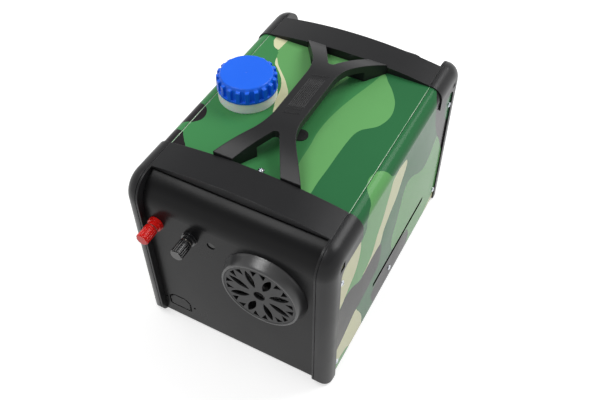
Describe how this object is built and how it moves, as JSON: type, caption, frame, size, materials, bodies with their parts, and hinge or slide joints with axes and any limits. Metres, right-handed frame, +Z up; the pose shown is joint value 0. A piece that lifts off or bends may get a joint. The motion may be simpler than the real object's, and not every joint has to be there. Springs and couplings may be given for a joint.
{
  "type": "diesel air heater",
  "caption": "Portable diesel air heater in a camouflage steel case with rounded end frames, arched carry handle, filler neck with screw cap, warm air outlet and two power posts.",
  "frame": {"origin": "on the ground plane, under the middle of the case", "axes": "+X to the right of the warm air outlet side as seen from the front, +Y towards the control side at the rear, +Z up"},
  "size_m": [0.2388, 0.3823, 0.2584],
  "materials": {
    "black_moulding": "fine texture",
    "powder_coat": "satin",
    "camouflage_panel": "glossy print",
    "rubber": "matt",
    "screw_steel": "satin",
    "red_plastic": "gloss",
    "black_plastic": "gloss",
    "tank_plastic": "satin",
    "blue_plastic": "satin",
    "cast_alloy": "cast",
    "circuit_board": "satin",
    "display_window": "gloss"
  },
  "bodies": {
    "case": {"front_frame": "black_moulding", "rear_frame": "black_moulding", "front_plate": "powder_coat", "rear_plate": "powder_coat", "top_panel": "camouflage_panel", "left_side_panel": "camouflage_panel", "right_side_panel": "camouflage_panel", "base_pan": "powder_coat", "rubber_feet": "rubber", "carry_handle": "black_moulding", "handle_screws": "screw_steel", "top_screws": "screw_steel", "side_screws": "screw_steel", "panel_grommet": "rubber", "jack_plug": "rubber", "outlet_collar": "black_moulding", "outlet_grille": "black_moulding", "intake_collar": "black_moulding", "intake_grille": "black_moulding", "red_post_body": "red_plastic", "black_post_body": "black_plastic", "post_studs": "screw_steel", "post_insulators": "tank_plastic", "post_nuts": "screw_steel", "fuel_tank": "tank_plastic", "tank_straps": "screw_steel", "fuel_standpipe": "screw_steel", "pump_body": "screw_steel", "pump_mount": "rubber", "fuel_filter": "tank_plastic", "suction_line": "rubber", "pressure_line": "rubber", "air_ducts": "cast_alloy", "heater_shell_lower": "powder_coat", "heater_shell_upper": "powder_coat", "heat_exchanger": "cast_alloy", "combustion_tube": "screw_steel", "glow_plug": "screw_steel", "heater_motor": "black_plastic", "control_board": "circuit_board", "heater_gasket": "rubber", "heater_bracket": "screw_steel", "exhaust_pipe": "screw_steel", "combustion_air_pipe": "rubber", "console_housing": "black_moulding", "display_lens": "display_window"},
    "cap_lift": {"cap_seal": "rubber"},
    "cap": {"fuel_cap": "blue_plastic"},
    "red_clamp": {"red_washer": "screw_steel"},
    "red_post": {"red_knob": "red_plastic"},
    "black_clamp": {"black_washer": "screw_steel"},
    "black_post": {"black_knob": "black_plastic"},
    "rotor": {"motor_shaft": "screw_steel", "blower_fan": "black_plastic", "combustion_fan": "cast_alloy"},
    "plunger": {"pump_plunger": "cast_alloy"},
    "key_power": {"button_power": "black_plastic"},
    "key_up": {"button_up": "black_plastic"},
    "key_low": {"button_low": "black_plastic"},
    "key_mode": {"button_mode": "black_plastic"}
  },
  "joints": [
    {"name": "cap_turn", "type": "hinge", "parent": "cap_lift", "child": "cap", "pos_m": [-0.071, 0, 0.25], "axis": [0, 0, 1], "range_deg": [0, 724]},
    {"name": "cap_slide", "type": "slide", "parent": "case", "child": "cap_lift", "axis": [0, 0, 1], "range_m": [0, 0.012]},
    {"name": "red_turn", "type": "hinge", "parent": "red_clamp", "child": "red_post", "pos_m": [-0.087, -0.18, 0.172], "axis": [0, -1, 0], "range_deg": [0, 1448]},
    {"name": "red_slide", "type": "slide", "parent": "case", "child": "red_clamp", "axis": [0, -1, 0], "range_m": [0, 0.004]},
    {"name": "black_turn", "type": "hinge", "parent": "black_clamp", "child": "black_post", "pos_m": [-0.045, -0.18, 0.172], "axis": [0, -1, 0], "range_deg": [0, 1448]},
    {"name": "black_slide", "type": "slide", "parent": "case", "child": "black_clamp", "axis": [0, -1, 0], "range_m": [0, 0.004]},
    {"name": "rotor_spin", "type": "hinge", "parent": "case", "child": "rotor", "pos_m": [0.0418, 0.06, 0.1418], "axis": [0, 1, 0], "continuous": true},
    {"name": "plunger_stroke", "type": "slide", "parent": "case", "child": "plunger", "axis": [0, -1, 0], "range_m": [0, 0.003], "stiffness_N_per_m": 400},
    {"name": "press_power", "type": "slide", "parent": "case", "child": "key_power", "axis": [0, -0.8192, -0.5736], "range_m": [0, 0.001], "stiffness_N_per_m": 300},
    {"name": "press_up", "type": "slide", "parent": "case", "child": "key_up", "axis": [0, -0.8192, -0.5736], "range_m": [0, 0.001], "stiffness_N_per_m": 300},
    {"name": "press_low", "type": "slide", "parent": "case", "child": "key_low", "axis": [0, -0.8192, -0.5736], "range_m": [0, 0.001], "stiffness_N_per_m": 300},
    {"name": "press_mode", "type": "slide", "parent": "case", "child": "key_mode", "axis": [0, -0.8192, -0.5736], "range_m": [0, 0.001], "stiffness_N_per_m": 300}
  ],
  "couplings": [
    {"joint": "cap_turn", "follows": "cap_slide", "rad_per_m": 1047.2},
    {"joint": "red_turn", "follows": "red_slide", "rad_per_m": 6283.2},
    {"joint": "black_turn", "follows": "black_slide", "rad_per_m": 6283.2}
  ]
}
